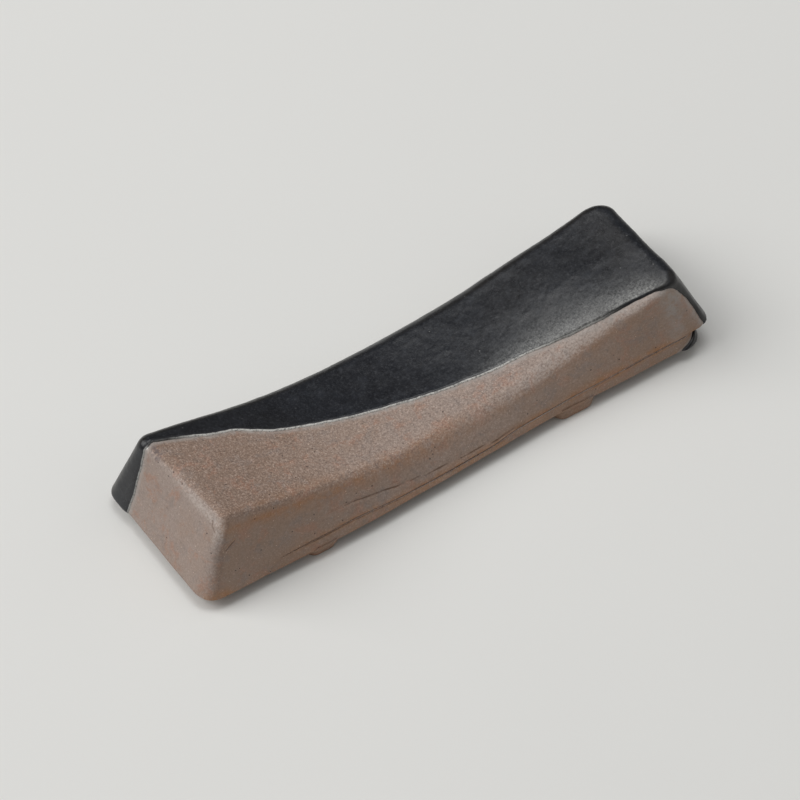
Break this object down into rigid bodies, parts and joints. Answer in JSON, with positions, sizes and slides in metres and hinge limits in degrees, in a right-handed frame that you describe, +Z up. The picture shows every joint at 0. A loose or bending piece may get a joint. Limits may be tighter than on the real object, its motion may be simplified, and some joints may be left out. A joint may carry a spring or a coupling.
{
  "type": "brush rest",
  "caption": "Bar-shaped stoneware brush rest, low in the middle and high at both ends, on low feet, dipped at a slant in black glaze.",
  "frame": {"origin": "centre of the bounding box in plan, on the plane that the feet stand on", "axes": "+X along the bar towards its glazed end, +Y across the bar towards its glazed long side, +Z up"},
  "size_m": [0.0731, 0.0212, 0.0123],
  "materials": {
    "bare_clay": "unglazed fired stoneware, fine grained and dull, with a rust tint along its edges",
    "black_glaze": "satin blue-black glaze, finely mottled, pale where it thins at its edge"
  },
  "bodies": {
    "root": {"clay_body": "bare_clay", "base_slab": "bare_clay", "foot_front_left": "bare_clay", "foot_front_right": "bare_clay", "foot_back_left": "bare_clay", "foot_back_right": "bare_clay", "glaze_coat": "black_glaze", "glaze_skirt": "black_glaze"}
  },
  "joints": []
}
